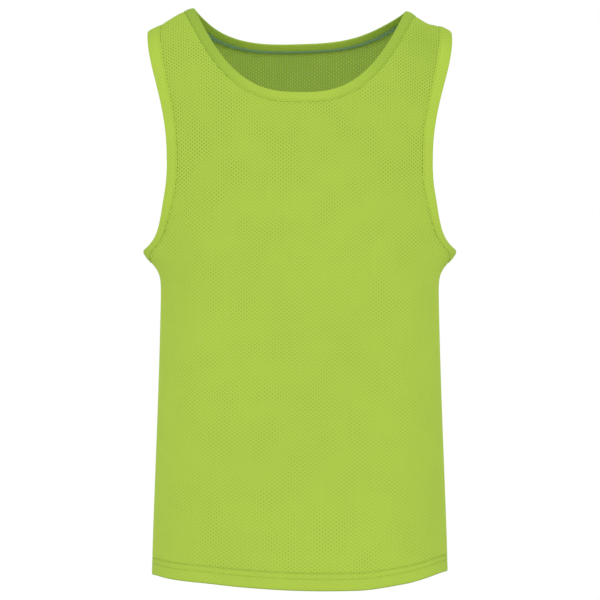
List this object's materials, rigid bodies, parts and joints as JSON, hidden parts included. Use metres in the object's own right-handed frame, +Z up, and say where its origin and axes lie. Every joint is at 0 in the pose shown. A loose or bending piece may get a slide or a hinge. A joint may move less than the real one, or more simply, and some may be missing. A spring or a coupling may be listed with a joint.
{
  "type": "mesh training bib",
  "caption": "Sleeveless pull-on mesh training bib, worn shape with nobody in it, open at neck, armholes and hem, with folded bindings and a turned-up hem.",
  "frame": {"origin": "midway between the two shoulder straps, level with their middles, where a wearer holds the bib up", "axes": "+Z up from hem to shoulders, -Y towards the front of the bib, +X towards the wearer's left side"},
  "size_m": [0.388, 0.227, 0.7023],
  "materials": {
    "mesh_cloth": "matt knitted mesh",
    "binding_cloth": "matt knitted mesh, folded"
  },
  "bodies": {
    "root": {"front_panel": "mesh_cloth", "back_panel": "mesh_cloth", "neck_binding": "binding_cloth", "armhole_binding_right": "binding_cloth", "armhole_binding_left": "binding_cloth"}
  },
  "joints": []
}
